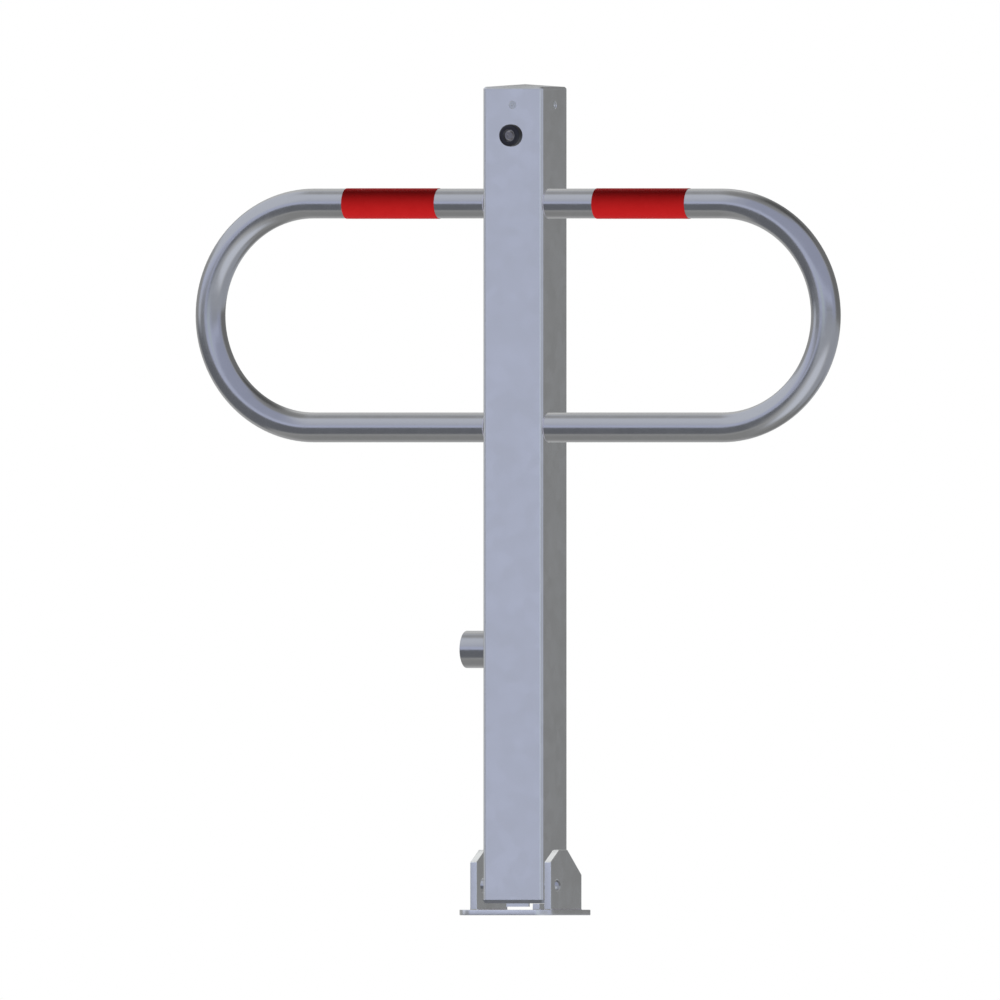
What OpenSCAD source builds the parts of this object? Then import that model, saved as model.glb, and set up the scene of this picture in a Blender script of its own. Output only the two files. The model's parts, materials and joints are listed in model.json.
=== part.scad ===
// Fold-down barrier post with a hoop: a square steel tube that hinges between two cheeks on a
// base plate, and is held upright by a drop rod that a key-turned cam lets down.
// The frame: the floor is z = 0, X runs along the hinge pin, and the front of the post faces -Y.

/* [Base plate] */
// Width of the base plate, across the post
base_w = 110; // [104:1:130]
// Depth of the base plate, front to back
base_d = 130; // [126:1:170]
// Thickness of the base plate
base_t = 6; // [4:0.5:10]
// Corner radius of the base plate
base_corner_r = 18; // [6:1:24]
// Diameter of the four anchor holes
anchor_hole_d = 12; // [8:0.5:14]
// Distance from the centre of an anchor hole to the side edge of the plate
anchor_edge_x = 27; // [22:1:30]
// Distance from the centre of an anchor hole to the front or back edge of the plate
anchor_edge_y = 12; // [11:0.5:13]

/* [Hinge] */
// Thickness of each cheek
cheek_t = 8; // [5:0.5:10]
// Gap between the post and each cheek
cheek_gap = 4; // [2:0.25:5]
// How far each cheek reaches in front of the post's centre line
cheek_front = 40.6; // [39:0.2:46]
// How far each cheek reaches behind the post's centre line
cheek_back = 45.4; // [40:0.2:52]
// Height of a cheek above the base plate
cheek_h = 64.2; // [56:0.2:80]
// Height of the cheek's upright front edge above the base plate
cheek_front_h = 50.9; // [44:0.1:54]
// Height of the cheek's upright back edge above the base plate
cheek_back_h = 37.5; // [20:0.5:48]
// Run of the slope at the front of a cheek
cheek_front_slope = 24.1; // [10:0.1:30]
// Run of the slope at the back of a cheek
cheek_back_slope = 39.5; // [20:0.5:44]
// Diameter of the hinge pin
pin_d = 12; // [10:0.5:13]
// Height of the hinge pin's centre above the base plate
pin_h = 26; // [24:0.5:32]
// Distance of the hinge pin's centre behind the post's front face
pin_inset = 11.5; // [11:0.25:14]
// How far each domed end of the hinge pin stands out of its cheek
pin_end = 3.6; // [1.5:0.1:6]
// Wall of the sleeve that turns on the hinge pin
sleeve_wall = 2; // [1.5:0.1:2.2]
// Thickness of the stop lug that the upright post seats on
lug_t = 8; // [4:0.5:12]
// Length of the stop lug, front to back
lug_len = 14; // [8:0.5:18]

/* [Post] */
// Outside width of the square post
post_w = 70; // [66:1:74]
// Wall of the square post
post_wall = 3; // [2.9:0.05:4]
// Outside corner radius of the square post
post_corner_r = 4; // [3.5:0.1:6]
// Length of the square post
post_len = 869; // [840:1:1000]
// Clear gap between the base plate and the foot plate
foot_gap = 6.7; // [5:0.1:9]
// Thickness of the foot plate that closes the bottom of the post
foot_t = 4; // [3:0.25:6]
// How far the foot plate's edges taper in
foot_taper = 2; // [0:0.1:3]
// How far the post's back wall reaches down past the foot plate's top
tongue_len = 7.5; // [5:0.1:8]
// Clearance at each side of the lug in the back wall's notch
notch_clear = 5; // [2:0.25:8]

/* [Cap] */
// Thickness of the cap's rim on top of the post
cap_rim_t = 2.2; // [1.5:0.1:4]
// Rise of the cap's shallow pyramid
cap_rise = 3.1; // [1:0.1:8]
// Depth of the cap's skirt inside the post
cap_skirt_h = 28; // [24:1:40]
// Wall of the cap's skirt
cap_skirt_wall = 3; // [2:0.25:4]
// Distance of the cap screws below the top of the tube
cap_screw_drop = 17; // [12:0.5:18]
// Thread diameter of the cap screws
cap_screw_d = 5; // [4:0.5:5.5]
// Head diameter of the cap screws
cap_head_d = 8.6; // [8:0.1:9.5]
// How far the cap screws' heads sit below the face of the post
cap_head_sink = 0.7; // [0.2:0.1:0.9]
// Length of the cap screws
cap_screw_len = 9; // [8:0.5:12]

/* [Hoop] */
// Outside diameter of the hoop's tube
hoop_d = 32; // [28:0.5:34]
// Wall of the hoop's tube
hoop_wall = 2; // [1.5:0.1:3]
// Centre-line radius of the hoop's round ends
hoop_bend_r = 120; // [90:1:140]
// Overall width of the hoop
hoop_span = 746; // [600:2:900]
// Distance of the hoop's centre below the top of the tube
hoop_drop = 242.7; // [200:0.1:400]

/* [Red bands] */
// Length of a red band
band_len = 107.5; // [60:0.5:130]
// Thickness of a red band
band_t = 0.4; // [0.3:0.05:1]
// Distance from the post's side face to the near end of a red band
band_offset = 56.4; // [20:0.1:80]

/* [Buffer] */
// Diameter of the rubber buffer
buffer_d = 24; // [20:0.5:32]
// Height of the rubber buffer
buffer_h = 11; // [9:0.5:12]
// Radius of the buffer's outer edge
buffer_edge_r = 2.5; // [1:0.25:3]
// Distance of the buffer's centre below the top of the tube
buffer_drop = 49.7; // [46:0.1:70]
// Diameter of the recess for the washer and screw head
buffer_recess_d = 13; // [12.5:0.25:14]
// Depth of that recess
buffer_recess_h = 5.5; // [5:0.25:6.5]
// Diameter of the buffer's fixing screw
buffer_screw_d = 6; // [4:0.5:6]
// Diameter of the washer under the screw head
buffer_washer_d = 12; // [11.5:0.25:12.2]
// Thickness of that washer
buffer_washer_t = 1.6; // [1:0.1:2]
// Head diameter of the fixing screw
buffer_head_d = 10; // [9:0.25:11]
// Head height of the fixing screw
buffer_head_h = 3; // [2:0.25:3.25]
// Width across the flats of the nut inside the post
buffer_nut_af = 10; // [9:0.5:13]
// Height of that nut
buffer_nut_h = 5; // [4:0.5:8]

/* [Lock housing] */
// Height of the lock's centre above the base plate
lock_h = 279; // [240:1:340]
// Outside diameter of the lock housing
housing_d = 40; // [37:0.5:46]
// Wall of the lock housing
housing_wall = 3; // [2:0.25:3.5]
// How far the lock housing stands out of the post
housing_len = 33; // [28:0.5:45]
// Barrel diameter of the lock bush
bush_d = 22; // [18:0.5:24]
// Flange diameter of the lock bush
bush_flange_d = 30; // [26:0.5:30]
// Flange thickness of the lock bush
bush_flange_t = 5; // [3:0.5:6]
// Length of the bush's barrel inside the post
bush_inside = 11; // [10:0.25:12]
// Width across the flats of the lock nut
lock_nut_af = 32; // [28:0.5:36]
// Height of the lock nut
lock_nut_h = 6; // [4:0.5:7]

/* [Lock core and cam] */
// Diameter of the turning core
core_d = 12; // [9:0.5:14]
// Length of the triangular key stud
stud_len = 14; // [10:0.5:18]
// Side of the stud's triangle
stud_side = 15; // [13:0.5:16]
// Diameter that rounds the stud's corners
stud_round_d = 14; // [13:0.25:15]
// Diameter of the collar behind the stud
core_collar_d = 16; // [15.5:0.25:18]
// Thickness of that collar
core_collar_t = 3; // [2:0.25:4]
// Square across the flats where the cam sits
cam_square = 8; // [6:0.25:8]
// Thickness of the cam
cam_t = 6; // [4:0.5:6.5]
// Thread diameter at the core's inner end
core_thread_d = 7; // [5:0.5:8]
// Width across the flats of the nut that holds the cam
cam_nut_af = 12; // [11:0.5:13]
// Height of that nut
cam_nut_h = 4.5; // [3.5:0.25:5]
// Distance from the core's axis to the lift pin with the rod up
cam_pitch_r = 25; // [22:0.5:26]
// Turn of the core from rod up to rod down, in degrees
core_turn = 180; // [150:5:200]

/* [Drop rod] */
// Diameter of the drop rod
rod_d = 12; // [9:0.5:12]
// Travel of the drop rod
rod_travel = 13; // [11:0.5:13]
// Height of the raised rod's tip above the foot plate's underside
rod_tip_rise = 1.3; // [0.5:0.1:2.5]
// Length of the rod above the lift pin's centre
rod_head = 8; // [6:0.5:12]
// Diameter of the lift pin that rides on the cam
lift_pin_d = 6; // [4:0.5:6]
// How far the lift pin stands out behind the rod
lift_pin_tail = 1; // [0.5:0.25:3]
// Thickness of the two guide plates
guide_t = 5; // [3:0.5:8]
// Distance of the lower guide above the foot plate
guide_low_rise = 44; // [36:1:70]
// Distance of the upper guide below the lock's centre
guide_high_drop = 40; // [36:1:50]
// Outside diameter of the collar on the rod
collar_d = 22; // [20:0.5:28]
// Height of the collar on the rod
collar_h = 10; // [8:0.5:14]
// Diameter of the pin through the collar
collar_pin_d = 4; // [3:0.25:5]
// Free space for the spring between the collar and the upper guide
spring_space = 50; // [40:1:70]
// Outside diameter of the spring
spring_d = 19; // [17.5:0.5:19.5]
// Wire diameter of the spring
spring_wire_d = 2.2; // [1.6:0.1:2.4]
// Turns of the spring
spring_turns = 7; // [5:1:9]

/* [Fits] */
// Radial running clearance of a shaft in its bore
run_clear = 0.05; // [0.02:0.01:0.09]
// Clearance of a piece that is slipped or welded into place
fit_clear = 0.2; // [0.1:0.05:0.3]
// Radial clearance of the rod's end in the foot plate and the base plate
catch_clear = 0.5; // [0.3:0.05:1]
// Smoothness of every round form
round_fn = 96; // [48:4:128]

/* [Hidden] */
$fn = round_fn;

// Half widths of the post, outside and inside, and its inside corner radius
post_half = post_w / 2;
bore_half = post_half - post_wall;
bore_corner_r = post_corner_r - post_wall;
// Levels from the floor up
foot_z = base_t + foot_gap;
post_z = foot_z + foot_t;
post_top = post_z + post_len;
pin_z = base_t + pin_h;
lock_z = base_t + lock_h;
hoop_z = post_top - hoop_drop;
buffer_z = post_top - buffer_drop;
cap_screw_z = post_top - cap_screw_drop;
tongue_z = post_z - tongue_len;
lug_top = foot_z - fit_clear;
// The hinge line and the faces beside it
pin_y = -post_half + pin_inset;
cheek_in = post_half + cheek_gap;
cheek_out = cheek_in + cheek_t;
sleeve_d = pin_d + 2 * (run_clear + sleeve_wall);
sleeve_half = cheek_in - fit_clear;
// The hoop's tube lies flush with the post's front face
hoop_y = -post_half + hoop_d / 2;
hoop_bend_x = hoop_span / 2 - hoop_d / 2 - hoop_bend_r;
band_x = post_half + band_offset;
// Steps along the lock's axis, from its mouth inwards
housing_end = -post_half - housing_len;
bush_face = -post_half - bush_flange_t;
bush_end = -bore_half + bush_inside;
cam_face = bush_end + fit_clear;
cam_back = cam_face + cam_t;
core_end = cam_back + cam_nut_h + fit_clear;
stud_back = bush_face - core_collar_t - fit_clear;
// The drop rod's levels, with the rod up
rod_tip = foot_z + rod_tip_rise;
lift_pin_z = lock_z + cam_pitch_r;
rod_top = lift_pin_z + rod_head;
guide_low_z = post_z + guide_low_rise;
guide_high_z = lock_z - guide_high_drop - guide_t;
collar_z = guide_high_z - spring_space - collar_h;
cut = 1;

steel = [0.66, 0.68, 0.74];
bright_steel = [0.78, 0.79, 0.81];
brass = [0.78, 0.62, 0.32];
red = [0.72, 0.08, 0.09];
rubber = [0.07, 0.07, 0.09];

// A square with round corners, centred on the origin
module round_square(w, d, r) {
    square([w - 2 * r, d], center = true);
    square([w, d - 2 * r], center = true);
    for (x = [-1, 1], y = [-1, 1]) translate([x * (w / 2 - r), y * (d / 2 - r)]) circle(r = r);
}

// A round bar or hole along X, from one place to another
module bar_x(d, x0, x1) {
    translate([x0, 0, 0]) rotate([0, 90, 0]) cylinder(d = d, h = x1 - x0);
}

// A hexagonal prism along X with a given width across its flats
module hex_x(af, x0, x1) {
    translate([x0, 0, 0]) rotate([0, 90, 0]) cylinder(d = af / cos(30), h = x1 - x0, $fn = 6);
}

// Places a form at the four sides of the post, with its +Z pointing out of each face
module on_four_faces(z) {
    for (turn = [0 : 90 : 270]) rotate([0, 0, turn]) translate([0, -post_half, z]) rotate([90, 0, 0])
        children();
}

// The whole outside of the post tube, as a tool for coping what butts against it
module post_body(z0, z1) {
    translate([0, 0, z0]) linear_extrude(z1 - z0) round_square(post_w, post_w, post_corner_r);
}

module base_plate() {
    anchor_x = base_w / 2 - anchor_edge_x;
    anchor_y = base_d / 2 - anchor_edge_y;
    color(steel) difference() {
        linear_extrude(base_t) round_square(base_w, base_d, base_corner_r);
        for (x = [-1, 1], y = [-1, 1]) translate([x * anchor_x, y * anchor_y, -cut])
            cylinder(d = anchor_hole_d, h = base_t + 2 * cut);
        translate([0, 0, -cut]) cylinder(d = rod_d + 2 * catch_clear, h = base_t + 2 * cut);
    }
}

// One cheek, drawn in the plane of the hinge's side view and set on the base plate
module cheek() {
    outline = [
        [-cheek_front, 0], [cheek_back, 0], [cheek_back, cheek_back_h],
        [cheek_back - cheek_back_slope, cheek_h], [-cheek_front + cheek_front_slope, cheek_h],
        [-cheek_front, cheek_front_h]
    ];
    difference() {
        translate([cheek_in, 0, base_t]) rotate([90, 0, 90]) linear_extrude(cheek_t) polygon(outline);
        translate([0, pin_y, pin_z]) bar_x(pin_d, cheek_in - cut, cheek_out + cut);
    }
}

module cheek_left() { color(steel) mirror([1, 0, 0]) cheek(); }

module cheek_right() { color(steel) cheek(); }

module stop_lug() {
    color(steel) translate([-lug_t / 2, bore_half - cut, base_t]) cube([lug_t, lug_len, lug_top - base_t]);
}

// A plain pin with a shallow domed end outside each cheek
module hinge_pin() {
    dome_r = (pow(pin_d / 2, 2) + pow(pin_end, 2)) / (2 * pin_end);
    color(bright_steel) translate([0, pin_y, pin_z]) {
        bar_x(pin_d, -cheek_out, cheek_out);
        for (side = [-1, 1]) intersection() {
            translate([side * (cheek_out + pin_end - dome_r), 0, 0]) sphere(r = dome_r);
            bar_x(2 * pin_d, side > 0 ? cheek_out : -cheek_out - pin_d,
                side > 0 ? cheek_out + pin_d : -cheek_out);
        }
    }
}

module cap_screw_hole() {
    head_h = (cap_head_d - cap_screw_d) / 2;
    translate([0, 0, -cap_head_sink]) cylinder(d = cap_head_d + fit_clear, h = cap_head_sink + cut);
    translate([0, 0, -cap_head_sink - head_h])
        cylinder(d1 = cap_screw_d + fit_clear, d2 = cap_head_d + fit_clear, h = head_h);
    translate([0, 0, -cap_screw_len]) cylinder(d = cap_screw_d + fit_clear, h = cap_screw_len);
}

module post_tube() {
    color(steel) difference() {
        post_body(tongue_z, post_top);
        translate([0, 0, tongue_z - cut]) linear_extrude(post_top - tongue_z + 2 * cut)
            round_square(2 * bore_half, 2 * bore_half, bore_corner_r);
        // only the back wall reaches below the foot plate's top
        translate([-post_w, -post_w, tongue_z - cut])
            cube([2 * post_w, post_w + bore_half, tongue_len + cut]);
        // the notch that drops over the stop lug
        translate([-lug_t / 2 - notch_clear, 0, tongue_z - cut])
            cube([lug_t + 2 * notch_clear, post_w, foot_z - tongue_z + cut]);
        translate([0, pin_y, pin_z]) bar_x(sleeve_d, -post_w, post_w);
        translate([0, 0, lock_z]) bar_x(bush_d + 2 * fit_clear, -post_w, 0);
        translate([0, 0, buffer_z]) rotate([90, 0, 0])
            cylinder(d = buffer_screw_d + 2 * fit_clear, h = post_w);
        on_four_faces(cap_screw_z) cap_screw_hole();
    }
}

// The foot plate closes the tube in front of the back wall, and its three free edges taper in
module foot_plate() {
    top_half = post_half - fit_clear;
    low_half = top_half - foot_taper;
    side = [[-top_half, foot_t], [bore_half, foot_t], [bore_half, 0], [-low_half, 0]];
    front = [[-top_half, foot_t], [top_half, foot_t], [low_half, 0], [-low_half, 0]];
    color(steel) difference() {
        intersection() {
            translate([-post_w, 0, foot_z]) rotate([90, 0, 90]) linear_extrude(2 * post_w) polygon(side);
            translate([0, post_w, foot_z]) rotate([90, 0, 0]) linear_extrude(2 * post_w) polygon(front);
        }
        translate([0, 0, foot_z - cut]) cylinder(d = rod_d + 2 * catch_clear, h = foot_t + 2 * cut);
    }
}

// The sleeve runs through both side walls, and its ends keep the post centred between the cheeks
module hinge_sleeve() {
    color(bright_steel) translate([0, pin_y, pin_z]) difference() {
        bar_x(sleeve_d, -sleeve_half, sleeve_half);
        bar_x(pin_d + 2 * run_clear, -sleeve_half - cut, sleeve_half + cut);
    }
}

module roof(half, rim, rise) {
    rotate([90, 0, 0]) translate([0, 0, -half]) linear_extrude(2 * half)
        polygon([[-half, 0], [half, 0], [half, rim], [0, rim + rise], [-half, rim]]);
}

// A shallow pyramid with a rim that covers the tube's end, and a hollow skirt inside the tube
module top_cap() {
    skirt_half = bore_half - fit_clear;
    core_half = skirt_half - cap_skirt_wall;
    color(steel) {
        translate([0, 0, post_top]) intersection() {
            roof(post_half, cap_rim_t, cap_rise);
            rotate([0, 0, 90]) roof(post_half, cap_rim_t, cap_rise);
            linear_extrude(cap_rim_t + cap_rise + cut) round_square(post_w, post_w, post_corner_r);
        }
        translate([0, 0, post_top - cap_skirt_h]) difference() {
            linear_extrude(cap_skirt_h) round_square(2 * skirt_half, 2 * skirt_half, bore_corner_r);
            translate([0, 0, -cut]) linear_extrude(cap_skirt_h + cut)
                square(2 * core_half, center = true);
            translate([0, 0, cap_screw_z - post_top + cap_skirt_h]) for (turn = [0, 90])
                rotate([90, 0, turn]) cylinder(d = cap_screw_d + fit_clear, h = post_w, center = true);
        }
    }
}

module cap_screw() {
    head_h = (cap_head_d - cap_screw_d) / 2;
    neck_z = -cap_head_sink - head_h;
    socket_af = cap_screw_d * 0.6;
    difference() {
        union() {
            translate([0, 0, neck_z]) cylinder(d1 = cap_screw_d, d2 = cap_head_d, h = head_h);
            translate([0, 0, -cap_screw_len]) cylinder(d = cap_screw_d, h = cap_screw_len + neck_z);
        }
        translate([0, 0, neck_z]) cylinder(d = socket_af / cos(30), h = head_h + cut, $fn = 6);
    }
}

// Four identical countersunk screws, one in each face
module cap_screws() { color(bright_steel) on_four_faces(cap_screw_z) cap_screw(); }

module ring_section() {
    difference() {
        circle(d = hoop_d);
        circle(d = hoop_d - 2 * hoop_wall);
    }
}

// Half of the hoop: two bars and a round end in one bent tube, its ends coped to the post's side
module hoop_half() {
    difference() {
        translate([0, hoop_y, hoop_z]) {
            for (side = [-1, 1]) translate([0, 0, side * hoop_bend_r]) rotate([90, 0, 90])
                linear_extrude(hoop_bend_x) ring_section();
            translate([hoop_bend_x, 0, 0]) rotate([90, 0, 0]) rotate_extrude(angle = 180, start = -90)
                translate([hoop_bend_r, 0]) ring_section();
        }
        post_body(hoop_z - hoop_bend_r - hoop_d, hoop_z + hoop_bend_r + hoop_d);
    }
}

module hoop_left() { color(steel) mirror([1, 0, 0]) hoop_half(); }

module hoop_right() { color(steel) hoop_half(); }

module red_band() {
    translate([band_x, hoop_y, hoop_z + hoop_bend_r]) difference() {
        bar_x(hoop_d + 2 * run_clear + 2 * band_t, 0, band_len);
        bar_x(hoop_d + 2 * run_clear, -cut, band_len + cut);
    }
}

module red_band_left() { color(red) mirror([1, 0, 0]) red_band(); }

module red_band_right() { color(red) red_band(); }

// The buffer's pieces are drawn along +Z, out of the post's front face
module at_buffer() {
    translate([0, -post_half, buffer_z]) rotate([90, 0, 0]) children();
}

module buffer() {
    r = buffer_d / 2;
    color(rubber) at_buffer() difference() {
        rotate_extrude() {
            square([r, buffer_h - buffer_edge_r]);
            square([r - buffer_edge_r, buffer_h]);
            translate([r - buffer_edge_r, buffer_h - buffer_edge_r]) intersection() {
                circle(r = buffer_edge_r);
                square(buffer_edge_r);
            }
        }
        translate([0, 0, buffer_h - buffer_recess_h])
            cylinder(d = buffer_recess_d, h = buffer_recess_h + cut);
        translate([0, 0, -cut]) cylinder(d = buffer_screw_d + 2 * fit_clear, h = buffer_h);
    }
}

module buffer_washer() {
    color(bright_steel) at_buffer() translate([0, 0, buffer_h - buffer_recess_h]) difference() {
        cylinder(d = buffer_washer_d, h = buffer_washer_t);
        translate([0, 0, -cut]) cylinder(d = buffer_screw_d + 2 * fit_clear, h = buffer_washer_t + 2 * cut);
    }
}

// A pan-head screw with a hexagon socket
module buffer_screw() {
    head_z = buffer_h - buffer_recess_h + buffer_washer_t;
    tail = post_wall + buffer_nut_h;
    color(bright_steel) at_buffer() difference() {
        union() {
            translate([0, 0, -tail]) cylinder(d = buffer_screw_d, h = head_z + tail);
            translate([0, 0, head_z])
                cylinder(d1 = buffer_head_d, d2 = buffer_head_d * 0.8, h = buffer_head_h);
        }
        translate([0, 0, head_z + buffer_head_h / 3])
            cylinder(d = buffer_screw_d * 0.75, h = buffer_head_h, $fn = 6);
    }
}

module buffer_nut() {
    color(bright_steel) at_buffer() translate([0, 0, -post_wall - buffer_nut_h]) difference() {
        cylinder(d = buffer_nut_af / cos(30), h = buffer_nut_h, $fn = 6);
        translate([0, 0, -cut]) cylinder(d = buffer_screw_d + 2 * run_clear, h = buffer_nut_h + 2 * cut);
    }
}

module lock_housing() {
    color(steel) translate([0, 0, lock_z]) difference() {
        bar_x(housing_d, housing_end, -post_half);
        bar_x(housing_d - 2 * housing_wall, housing_end - cut, -post_half + cut);
    }
}

module lock_bush() {
    color(brass) translate([0, 0, lock_z]) difference() {
        union() {
            bar_x(bush_flange_d, bush_face, -post_half);
            bar_x(bush_d, -post_half, bush_end);
        }
        bar_x(core_d + 2 * run_clear, bush_face - cut, bush_end + cut);
    }
}

module lock_nut() {
    color(bright_steel) translate([0, 0, lock_z]) difference() {
        hex_x(lock_nut_af, -bore_half, -bore_half + lock_nut_h);
        bar_x(bush_d + 2 * run_clear, -bore_half - cut, -bore_half + lock_nut_h + cut);
    }
}

module rod_guide(z) {
    half = bore_half - fit_clear;
    color(steel) translate([0, 0, z]) difference() {
        linear_extrude(guide_t) round_square(2 * half, 2 * half, bore_corner_r);
        translate([0, 0, -cut]) cylinder(d = rod_d + 2 * run_clear, h = guide_t + 2 * cut);
    }
}

module rod_guide_lower() { rod_guide(guide_low_z); }

module rod_guide_upper() { rod_guide(guide_high_z); }

// A wire swept along a helix: rings of points round the coil's centre line, joined side by side
module rod_spring() {
    sides = 8;
    steps = 18 * spring_turns;
    coil_r = (spring_d - spring_wire_d) / 2;
    wire_r = spring_wire_d / 2;
    low = collar_z + collar_h + wire_r + fit_clear;
    high = guide_high_z - wire_r - fit_clear;
    points = [for (i = [0 : steps])
        let (turn = 360 * spring_turns * i / steps, z = low + (high - low) * i / steps)
        for (j = [0 : sides - 1]) let (a = 360 * j / sides, r = coil_r + wire_r * cos(a))
            [r * cos(turn), r * sin(turn), z + wire_r * sin(a)]];
    walls = [for (i = [0 : steps - 1], j = [0 : sides - 1]) let (k = (j + 1) % sides)
        [i * sides + j, i * sides + k, (i + 1) * sides + k, (i + 1) * sides + j]];
    first = [for (j = [sides - 1 : -1 : 0]) j];
    last = [for (j = [0 : sides - 1]) steps * sides + j];
    color(bright_steel) polyhedron(points, concat(walls, [first, last]), convexity = 10);
}

// A round journal with a three-sided key stud outside and a square with a thread inside
module lock_core() {
    color(bright_steel) translate([0, 0, lock_z]) {
        intersection() {
            translate([stud_back - stud_len, 0, 0]) rotate([0, 90, 0])
                cylinder(d = stud_side * 2 / sqrt(3), h = stud_len, $fn = 3);
            bar_x(stud_round_d, stud_back - stud_len - cut, stud_back);
        }
        bar_x(core_collar_d, stud_back, stud_back + core_collar_t);
        bar_x(core_d, stud_back + core_collar_t, cam_face);
        translate([cam_face, -cam_square / 2, -cam_square / 2]) cube([cam_t, cam_square, cam_square]);
        bar_x(core_thread_d, cam_back, core_end);
    }
}

// The cam's edge is a constant-lift spiral: the path of the lift pin's centre as the core turns,
// set in by the pin's radius
function pitch_r(t) = cam_pitch_r - rod_travel * t / core_turn;
function radial(t) = [cos(90 - t), sin(90 - t)];
function across(t) = [sin(90 - t), -cos(90 - t)];
function path_dir(t) = -rod_travel / (core_turn * PI / 180) * radial(t) + pitch_r(t) * across(t);
function inward(t) = [path_dir(t)[1], -path_dir(t)[0]] / norm(path_dir(t));
function cam_edge(t) = pitch_r(t) * radial(t) + (lift_pin_d / 2 + fit_clear) * inward(t);

module lock_cam() {
    lead = 12;
    step = 4;
    heel_r = norm(cam_edge(core_turn + lead));
    spiral = [for (t = [-lead : step : core_turn + lead]) cam_edge(t)];
    heel = [for (t = [core_turn + lead + step : step : 360 - lead]) heel_r * radial(t)];
    hole = cam_square + fit_clear;
    color(steel) translate([cam_face, 0, lock_z]) rotate([90, 0, 90]) linear_extrude(cam_t) difference() {
        polygon(concat(spiral, heel));
        square(hole, center = true);
    }
}

module cam_nut() {
    color(bright_steel) translate([0, 0, lock_z]) difference() {
        hex_x(cam_nut_af, cam_back, cam_back + cam_nut_h);
        bar_x(core_thread_d + 2 * run_clear, cam_back - cut, core_end + cut);
    }
}

module lock_rod() {
    chamfer = 1.5;
    color(bright_steel) difference() {
        union() {
            translate([0, 0, rod_tip]) cylinder(d1 = rod_d - 2 * chamfer, d2 = rod_d, h = chamfer);
            translate([0, 0, rod_tip + chamfer]) cylinder(d = rod_d, h = rod_top - rod_tip - chamfer);
        }
        translate([0, 0, lift_pin_z]) bar_x(lift_pin_d, -rod_d, rod_d);
        translate([0, 0, collar_z + collar_h / 2]) bar_x(collar_pin_d, -rod_d, rod_d);
    }
}

module lift_pin() {
    color(bright_steel) translate([0, 0, lift_pin_z])
        bar_x(lift_pin_d, cam_face, rod_d / 2 + lift_pin_tail);
}

module rod_collar() {
    color(steel) difference() {
        translate([0, 0, collar_z]) cylinder(d = collar_d, h = collar_h);
        translate([0, 0, collar_z - cut]) cylinder(d = rod_d, h = collar_h + 2 * cut);
        translate([0, 0, collar_z + collar_h / 2]) bar_x(collar_pin_d, -collar_d, collar_d);
    }
}

module collar_pin() {
    color(bright_steel) translate([0, 0, collar_z + collar_h / 2])
        bar_x(collar_pin_d, -collar_d / 2, collar_d / 2);
}

base_plate();
cheek_left();
cheek_right();
stop_lug();
hinge_pin();
post_tube();
foot_plate();
hinge_sleeve();
top_cap();
cap_screws();
hoop_left();
hoop_right();
red_band_left();
red_band_right();
buffer();
buffer_washer();
buffer_screw();
buffer_nut();
lock_housing();
lock_bush();
lock_nut();
rod_guide_lower();
rod_guide_upper();
rod_spring();
lock_core();
lock_cam();
cam_nut();
lock_rod();
lift_pin();
rod_collar();
collar_pin();
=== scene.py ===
# %% [markdown]
# # A fold-down bollard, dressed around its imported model
# The object is a square steel post that hinges on a base plate and carries a hoop of round
# tube with two red bands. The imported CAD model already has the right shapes, and it moves as
# the real thing does. This script adds what a plain model lacks: softened edges, weld seams,
# zinc, rubber and film that look like themselves, and a studio to see them in.

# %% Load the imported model
import json
import math

import bmesh
import bpy
from mathutils import Matrix, Vector


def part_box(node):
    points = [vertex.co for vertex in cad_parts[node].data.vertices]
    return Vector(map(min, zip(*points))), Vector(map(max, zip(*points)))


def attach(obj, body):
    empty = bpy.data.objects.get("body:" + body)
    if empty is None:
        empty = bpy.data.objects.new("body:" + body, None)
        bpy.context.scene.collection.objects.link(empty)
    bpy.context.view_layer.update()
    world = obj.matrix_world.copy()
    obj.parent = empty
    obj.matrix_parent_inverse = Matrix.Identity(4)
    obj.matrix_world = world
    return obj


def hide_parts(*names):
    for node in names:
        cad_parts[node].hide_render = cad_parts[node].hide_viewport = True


MM = 0.001


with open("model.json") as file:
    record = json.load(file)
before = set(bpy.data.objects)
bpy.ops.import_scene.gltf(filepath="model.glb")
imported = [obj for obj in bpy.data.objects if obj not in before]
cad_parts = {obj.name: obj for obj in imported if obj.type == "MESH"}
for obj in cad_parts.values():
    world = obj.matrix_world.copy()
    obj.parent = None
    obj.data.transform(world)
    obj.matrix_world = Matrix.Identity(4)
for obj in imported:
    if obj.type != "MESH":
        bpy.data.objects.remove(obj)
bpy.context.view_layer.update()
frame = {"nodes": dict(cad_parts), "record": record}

# %% [markdown]
# ## Sizes that come from the frame
# Nothing below repeats a size of the CAD model. Each one is read from the box of the node it
# belongs to, so that a changed model carries its new pieces along. Blender works in metres,
# and MM turns a size in millimetres into one. X points along the hinge pin to the right, Y to
# the back and Z up.

# %% Measure the post and the hoop
X_AXIS, Y_AXIS, Z_AXIS = Vector((1, 0, 0)), Vector((0, 1, 0)), Vector((0, 0, 1))

post_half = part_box("post_tube")[1].x
hoop_low, hoop_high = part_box("hoop_right")
tube_r = (hoop_high.y - hoop_low.y) / 2
tube_y = (hoop_high.y + hoop_low.y) / 2
hoop_z = (hoop_high.z + hoop_low.z) / 2
bend_r = (hoop_high.z - hoop_low.z) / 2 - tube_r
bend_x = hoop_high.x - tube_r - bend_r
print(f"post {2 * post_half / MM:.1f} mm wide, tube {2 * tube_r / MM:.1f} mm across,",
      f"bend {bend_r / MM:.1f} mm")

# %% [markdown]
# ## The camera
# The photograph looks straight at the post from a little to its right, with no perspective:
# the hoop's upright ends, near and far, come out the same size. So the camera is an
# orthographic one at the height of the post's middle. Its width is what the photograph spans
# at the post, and a small step sideways puts the post where the photograph has it.

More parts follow.
